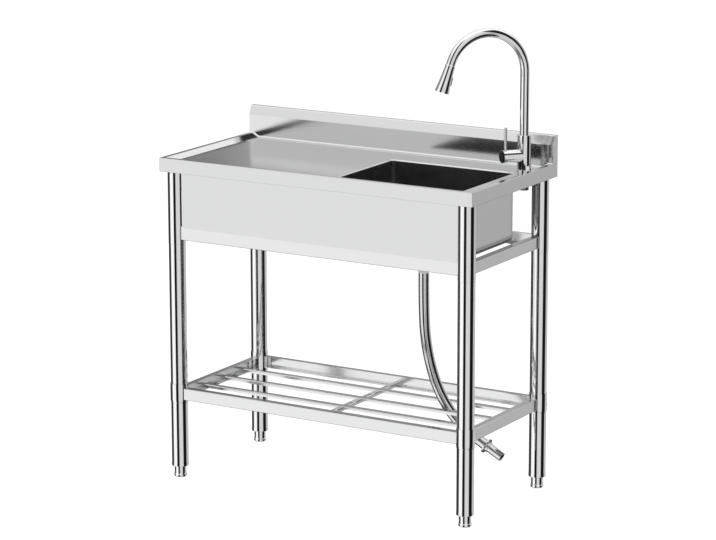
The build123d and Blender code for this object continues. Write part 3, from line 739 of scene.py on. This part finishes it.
def makeCove(values):
    radius = values["radius"]
    front = values["front"] + values["sink"]
    startX, startZ = values["path"][0]
    floor = startZ - values["sink"]
    bpy.ops.object.select_all(action="DESELECT")
    bpy.ops.mesh.primitive_circle_add(
        vertices=values["sides"],
        radius=radius,
        location=(startX, front - radius, floor + radius),
        rotation=(0.0, math.pi / 2, 0.0),
    )
    piece = bpy.context.object
    piece.name = "upstandCove"
    bpy.ops.object.transform_apply(location=True, rotation=True, scale=True)
    away = radius * (1 + values["slack"])
    upper = floor + radius * (1 - values["slack"])
    selectParts(piece, "VERT", lambda point: point.co.y < front - away or point.co.z > floor + away)
    bpy.ops.mesh.delete(type="VERT")
    selectParts(piece, "VERT", lambda point: point.co.z > upper)
    bpy.ops.mesh.extrude_region_move(TRANSFORM_OT_translate={"value": (0.0, 0.0, -radius)})
    bpy.ops.mesh.extrude_region_move(TRANSFORM_OT_translate={"value": (0.0, -radius, 0.0)})
    bpy.ops.mesh.select_all(action="SELECT")
    bpy.ops.mesh.remove_doubles(threshold=values["mergeWithin"])
    bpy.ops.mesh.edge_face_add()
    for here, there in zip(values["path"], values["path"][1:]):
        step = (there[0] - here[0], 0.0, there[1] - here[1])
        bpy.ops.mesh.extrude_region_move(TRANSFORM_OT_translate={"value": step})
    bpy.ops.mesh.select_all(action="SELECT")
    bpy.ops.mesh.normals_make_consistent(inside=False)
    bpy.ops.object.mode_set(mode="OBJECT")
    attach(piece, "unit")
    giveFinish(piece, finishes["upstandSheet"])
    return piece


# hose end pipe: a short tube with an open, rounded mouth
endPipe = {
    "start": (0.32044, 0.030, 0.11787),
    "axis": (0.8826, 0.0, -0.4702),
    "radius": 0.0100,
    "sides": 48,
    "length": 0.036,
    "wall": 0.0014,
    "bore": 0.030,
    "mouthRound": 0.0006,
    "mouthSteps": 3,
    "near": 0.0001,
    "sharpDegrees": 40.0,
}


def makeEndPipe(values):
    axis = Vector(values["axis"]).normalized()
    start = Vector(values["start"])
    mouth = start + axis * values["length"]
    turn = Vector((0.0, 0.0, 1.0)).rotation_difference(axis).to_euler()
    bpy.ops.object.select_all(action="DESELECT")
    bpy.ops.mesh.primitive_cylinder_add(
        vertices=values["sides"],
        radius=values["radius"],
        depth=values["length"],
        location=(start + mouth) / 2,
        rotation=turn,
    )
    piece = bpy.context.object
    piece.name = "hoseEndPipe"
    bpy.ops.object.transform_apply(location=True, rotation=True, scale=True)
    selectParts(piece, "FACE", lambda face: facesWay(face, axis))
    bpy.ops.mesh.inset(thickness=values["wall"])
    bpy.ops.mesh.extrude_region_move(TRANSFORM_OT_translate={"value": -axis * values["bore"]})

    def atMouth(edge):
        ends = [piece.data.vertices[index].co - mouth for index in edge.vertices]
        isLevel = all(abs(end.dot(axis)) < values["near"] for end in ends)
        return isLevel and abs(ends[0].length - ends[1].length) < values["near"]

    selectParts(piece, "EDGE", atMouth)
    bpy.ops.mesh.bevel(offset=values["mouthRound"], segments=values["mouthSteps"])
    bpy.ops.object.mode_set(mode="OBJECT")
    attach(piece, "unit")
    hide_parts("hose_end_pipe")
    giveFinish(piece, finishes["hoseSkin"])
    return piece


# small touches on the copies, from the photograph; heights are above the floor
lever = {"foot": 0.80, "rise": 0.009}
upstandSlant = {"foot": 0.776, "near": 0.004, "rise": 0.0033}
apron = {"leftEnd": -0.34, "drawIn": 0.0042}
slats = {"drop": 0.0022}
rails = {
    "drop": 0.0049,
    # these tops get painted shade: a darker tone standing in for the dark reflection along their upper
    # edges
    "shadePaintedTops": ("shelf_rail_front", "shelf_rail_rear", "upper_rail_left", "upper_rail_right"),
}
legPlaces = [(-0.3685, -0.1675), (0.3685, -0.1675), (-0.3685, 0.1675), (0.3685, 0.1675)]
sleeve = {"foot": 0.1745, "near": 0.0003, "outside": 0.0196, "close": 0.9733}
socketFoot = {"height": 0.541, "near": 0.0003, "outside": 0.0188, "round": 0.0008, "steps": 2}


def raisePart(piece, rise, above=0.0, below=math.inf):
    selectParts(piece, "VERT", lambda point: above < point.co.z < below)
    bpy.ops.transform.translate(value=(0.0, 0.0, rise))
    bpy.ops.object.mode_set(mode="OBJECT")


def middleHeight(piece):
    heights = [point.co.z for point in piece.data.vertices]
    return (min(heights) + max(heights)) / 2.0


def lowerTop(piece, drop):
    raisePart(piece, -drop, above=middleHeight(piece))


def drawInLeftEnd(piece, values):
    selectParts(piece, "VERT", lambda point: point.co.x < values["leftEnd"])
    bpy.ops.transform.translate(value=(values["drawIn"], 0.0, 0.0))
    bpy.ops.object.mode_set(mode="OBJECT")


def markFaces(piece, finish, wanted):
    piece.data.materials.append(finishes[finish])
    selectParts(piece, "FACE", wanted)
    piece.active_material_index = len(piece.data.materials) - 1
    bpy.ops.object.material_slot_assign()
    bpy.ops.object.mode_set(mode="OBJECT")


def legOf(piece):
    middle = sum((point.co for point in piece.data.vertices), Vector()) / len(piece.data.vertices)
    return min(legPlaces, key=lambda place: math.dist(place, middle.xy))


# the sleeve's lower outer edge comes in to the leg
def closeSleeve(piece, values):
    leg = legOf(piece)

    def isOuterFoot(point):
        isLow = point.co.z < values["foot"] + values["near"]
        return isLow and math.dist(point.co.xy, leg) > values["outside"]

    selectParts(piece, "VERT", isOuterFoot)
    share = values["close"]
    bpy.ops.transform.resize(value=(share, share, 1.0), center_override=(*leg, values["foot"]))
    bpy.ops.object.mode_set(mode="OBJECT")


def roundSocketFoot(piece, values):
    leg = legOf(piece)

    def isOuterFoot(edge):
        ends = [piece.data.vertices[index].co for index in edge.vertices]
        isLow = all(abs(end.z - values["height"]) < values["near"] for end in ends)
        return isLow and all(math.dist(end.xy, leg) > values["outside"] for end in ends)

    selectParts(piece, "EDGE", isOuterFoot)
    bpy.ops.mesh.bevel(offset=values["round"], segments=values["steps"])
    bpy.ops.object.mode_set(mode="OBJECT")


for nodeName, node in frame["nodes"].items():
    giveFinish(node, finishFor(nodeName))
giveFinish(wasteHose, finishes["hoseSkin"])
print("finishes given")

refined = {}
for nodeName in frame["nodes"]:
    if nodeName not in ("waste_hose", "hose_end_pipe"):
        refined[nodeName] = refinedCopy(nodeName)
print("copies made,", len(refined))

lipTool = makeLipTool(bowlOpening)
cutWith(refined["worktop"], lipTool)
cutWith(refined["bowl"], lipTool)
bpy.data.objects.remove(lipTool)
# painted shade on the bowl's inner faces
shadeBowlInside(refined["bowl"], bowlOpening)
# painted shade on the bowl's lower outside bend
markFaces(refined["bowl"], "bowlBendPaintedShade", lambda face: isOuterBend(face, bowlOpening))
print("bowl lip rounded")

raisePart(refined["lever_pin"], lever["rise"], above=lever["foot"])
drawInLeftEnd(refined["front_apron"], apron)
slantLow = upstandSlant["foot"] - upstandSlant["near"]
slantHigh = upstandSlant["foot"] + upstandSlant["near"]
raisePart(refined["backsplash"], upstandSlant["rise"], above=slantLow, below=slantHigh)
for nodeName, piece in refined.items():
    if nodeName.startswith("shelf_sleeve_"):
        closeSleeve(piece, sleeve)
    if nodeName.startswith("leg_socket_"):
        roundSocketFoot(piece, socketFoot)
    if "_rail_" in nodeName and nodeName != "upper_rail_front":
        lowerTop(piece, rails["drop"])
    # painted shade on the upward faces of these rails' tops
    if nodeName in rails["shadePaintedTops"]:
        middle = middleHeight(piece)
        markFaces(piece, "railTopPaintedShade", lambda face: facesWay(face, upwards) and face.center.z > middle)
        # painted highlight on the rear shelf rail's lower upward faces
        if nodeName == "shelf_rail_rear":
            markFaces(piece, "railFootPaintedHighlight", lambda face: facesWay(face, upwards) and face.center.z < middle)
    # painted shade on the slats' upward faces
    if nodeName.startswith("shelf_slat_"):
        markFaces(piece, "slatTopPaintedShade", lambda face: facesWay(face, upwards))
    if nodeName.startswith("shelf_slat_") or nodeName == "shelf_stiffener":
        raisePart(piece, -slats["drop"])
for piece in refined.values():
    smoothShade(piece, refining["sharpDegrees"])
print("copies refined")

smoothShade(makeCove(cove), cove["sharpDegrees"])
smoothShade(makeEndPipe(endPipe), endPipe["sharpDegrees"])
print("cove and hose end pipe made")


# studio: pale floor, soft lamps and a white surround with grey and dark panels in the reflections
studio = {
    "floorSize": 30.0,
    "floorColour": (0.85, 0.85, 0.85, 1.0),
    "floorRoughness": 0.9,
    "shadowColour": (0.3, 0.3, 0.3, 1.0),
    "floorGlow": 0.82,
    "surround": 0.72,
    "bands": [  # lowest elevation of each band in degrees, and its levels by azimuth
        (-84.0, [
            (-180.0, 0.06), (-160.0, 0.06), (-150.0, 1.10), (-106.0, 1.10), (-98.0, 0.02), (-72.0, 0.02),
            (-62.0, 0.70), (-18.0, 0.70), (-12.0, 0.02), (36.0, 0.02), (44.0, 0.10), (100.0, 0.12),
            (122.0, 0.30), (140.0, 0.10), (180.0, 0.06),
        ]),
        (-27.0, [
            (-180.0, 0.04), (-154.0, 0.05), (-150.0, 1.14), (-104.0, 1.14), (-98.0, 0.01), (-72.0, 0.01),
            (-62.0, 0.80), (-15.0, 0.76), (-11.0, 0.01), (36.0, 0.01), (41.0, 0.58), (122.0, 0.62),
            (123.4, 0.25), (135.0, 0.16), (150.0, 0.06), (180.0, 0.04),
        ]),
        (1.0, [
            (-180.0, 0.32), (-166.0, 0.32), (-160.0, 0.06), (-150.0, 0.89), (-104.0, 0.89), (-98.0, 0.01),
            (-72.0, 0.01), (-62.0, 0.80), (-15.0, 0.76), (-11.0, 0.01), (36.0, 0.01), (41.0, 0.58),
            (122.0, 0.62), (123.4, 0.25), (133.0, 0.16), (140.0, 0.30), (180.0, 0.32),
        ]),
        (17.5, [
            (-180.0, 0.34), (-166.0, 0.34), (-160.0, 0.06), (-150.0, 1.0), (-104.0, 1.0), (-98.0, 0.01),
            (-72.0, 0.01), (-62.0, 0.85), (-15.0, 0.80), (-11.0, 0.01), (36.0, 0.01), (42.0, 0.60),
            (108.0, 0.64), (112.0, 0.09), (132.0, 0.08), (140.0, 0.32), (180.0, 0.34),
        ]),
        (29.0, [
            (-180.0, 1.20), (-106.0, 1.20), (-100.0, 0.02), (-74.0, 0.02), (-64.0, 1.00), (-18.0, 0.90),
            (-12.0, 0.02), (34.0, 0.02), (42.0, 1.25), (180.0, 1.25),
        ]),
        (58.0, [(-180.0, 1.25), (180.0, 1.25)]),
    ],
    "bandSoft": 4.0,
    "beneath": 1.25,
}


def addLevels(tree, levels, place):
    halfTurn = 180.0
    ramp = addNode(tree, "ShaderNodeValToRGB", place)
    stops = ramp.color_ramp.elements
    stops.remove(stops[-1])
    for index, (angle, level) in enumerate(levels):
        position = (angle + halfTurn) / (2 * halfTurn)
        stop = stops[0] if index == 0 else stops.new(position)
        stop.position = position
        stop.color = (level, level, level, 1.0)
    return ramp


def addStudioWorld(values):
    world = bpy.data.worlds.new("studioWorld")
    scene.world = world
    world.use_nodes = True
    tree = world.node_tree
    tree.nodes.clear()
    link = tree.links.new
    coords = addNode(tree, "ShaderNodeTexCoord", (-1700, 0))
    parts = addNode(tree, "ShaderNodeSeparateXYZ", (-1500, 0))
    around = addNode(tree, "ShaderNodeMath", (-1300, 100), operation="ARCTAN2")
    turnShare = addNode(tree, "ShaderNodeMapRange", (-1100, 100))
    turnShare.inputs["From Min"].default_value = -math.pi
    turnShare.inputs["From Max"].default_value = math.pi
    height = addNode(tree, "ShaderNodeMath", (-1300, -150), operation="ARCSINE")
    link(coords.outputs["Generated"], parts.inputs[0])
    link(parts.outputs["Y"], around.inputs[0])
    link(parts.outputs["X"], around.inputs[1])
    link(around.outputs[0], turnShare.inputs["Value"])
    link(parts.outputs["Z"], height.inputs[0])
    levelSoFar = None
    beneath = (values["beneath"], values["beneath"], values["beneath"], 1.0)
    for index, (lowest, levels) in enumerate(values["bands"]):
        row = 300 - 280 * index
        ramp = addLevels(tree, levels, (-850, row))
        above = addNode(tree, "ShaderNodeMapRange", (-550, row), interpolation_type="SMOOTHSTEP")
        above.inputs["From Min"].default_value = math.radians(lowest - values["bandSoft"])
        above.inputs["From Max"].default_value = math.radians(lowest + values["bandSoft"])
        mixed = addNode(tree, "ShaderNodeMix", (-300, row), data_type="RGBA")
        mixed.inputs["A"].default_value = beneath
        link(turnShare.outputs["Result"], ramp.inputs["Fac"])
        link(height.outputs[0], above.inputs["Value"])
        link(above.outputs["Result"], mixed.inputs["Factor"])
        link(ramp.outputs["Color"], mixed.inputs["B"])
        if levelSoFar:
            link(levelSoFar, mixed.inputs["A"])
        levelSoFar = mixed.outputs["Result"]
    white = (1.0, 1.0, 1.0, 1.0)
    reflected = addNode(tree, "ShaderNodeBackground", (0, 0))
    even = addNode(tree, "ShaderNodeBackground", (0, -150))
    even.inputs["Color"].default_value = white
    even.inputs["Strength"].default_value = values["surround"]
    seen = addNode(tree, "ShaderNodeBackground", (0, 200))
    seen.inputs["Color"].default_value = white
    seen.inputs["Strength"].default_value = 1.0
    rays = addNode(tree, "ShaderNodeLightPath", (0, 500))
    lit = addNode(tree, "ShaderNodeMixShader", (250, 0))
    shown = addNode(tree, "ShaderNodeMixShader", (450, 100))
    out = addNode(tree, "ShaderNodeOutputWorld", (650, 100))
    link(levelSoFar, reflected.inputs["Color"])
    link(rays.outputs["Is Glossy Ray"], lit.inputs[0])
    link(even.outputs[0], lit.inputs[1])
    link(reflected.outputs[0], lit.inputs[2])
    link(rays.outputs["Is Camera Ray"], shown.inputs[0])
    link(lit.outputs[0], shown.inputs[1])
    link(seen.outputs[0], shown.inputs[2])
    link(shown.outputs[0], out.inputs["Surface"])


def addFloor(values):
    bpy.ops.object.select_all(action="DESELECT")
    bpy.ops.mesh.primitive_plane_add(size=values["floorSize"], location=(0.0, 0.0, 0.0))
    floor = bpy.context.object
    floor.name = "studioFloor"
    material, tree, shader = newFinish("floorPaper")
    shader.inputs["Base Color"].default_value = values["floorColour"]
    shader.inputs["Roughness"].default_value = values["floorRoughness"]
    shader.inputs["Specular IOR Level"].default_value = 0.0
    shaded = addNode(tree, "ShaderNodeBsdfDiffuse", (500, -200))
    shaded.inputs["Color"].default_value = values["shadowColour"]
    glow = addNode(tree, "ShaderNodeEmission", (500, -350))
    glow.inputs["Strength"].default_value = values["floorGlow"]
    seen = addNode(tree, "ShaderNodeAddShader", (750, -250))
    rays = addNode(tree, "ShaderNodeLightPath", (750, 500))
    mixed = addNode(tree, "ShaderNodeMixShader", (950, 100))
    out = tree.nodes["Material Output"]
    out.location = (1150, 100)
    link = tree.links.new
    link(shaded.outputs[0], seen.inputs[0])
    link(glow.outputs[0], seen.inputs[1])
    link(rays.outputs["Is Camera Ray"], mixed.inputs[0])
    link(shader.outputs[0], mixed.inputs[1])
    link(seen.outputs[0], mixed.inputs[2])
    link(mixed.outputs[0], out.inputs["Surface"])
    giveFinish(floor, material)
    floor.visible_glossy = False


lamps = {
    "frontLamp": {"place": (-2.6, -3.4, 3.6), "aim": (0.0, 0.0, 0.5), "size": 3.0, "power": 130.0},
    "rearLamp": {"place": (2.8, 2.6, 3.4), "aim": (0.0, 0.0, 0.5), "size": 3.0, "power": 60.0},
}


def addLamp(name, values):
    data = bpy.data.lights.new(name, "AREA")
    data.shape = "SQUARE"
    data.size = values["size"]
    data.energy = values["power"]
    lamp = bpy.data.objects.new(name, data)
    scene.collection.objects.link(lamp)
    lamp.location = values["place"]
    lamp.rotation_mode = "QUATERNION"
    ahead = Vector(values["aim"]) - Vector(values["place"])
    lamp.rotation_quaternion = ahead.to_track_quat("-Z", "Y")
    lamp.visible_glossy = False
    lamp.visible_camera = False


addStudioWorld(studio)
addFloor(studio)
for lampName, lampValues in lamps.items():
    addLamp(lampName, lampValues)
print("studio lit")
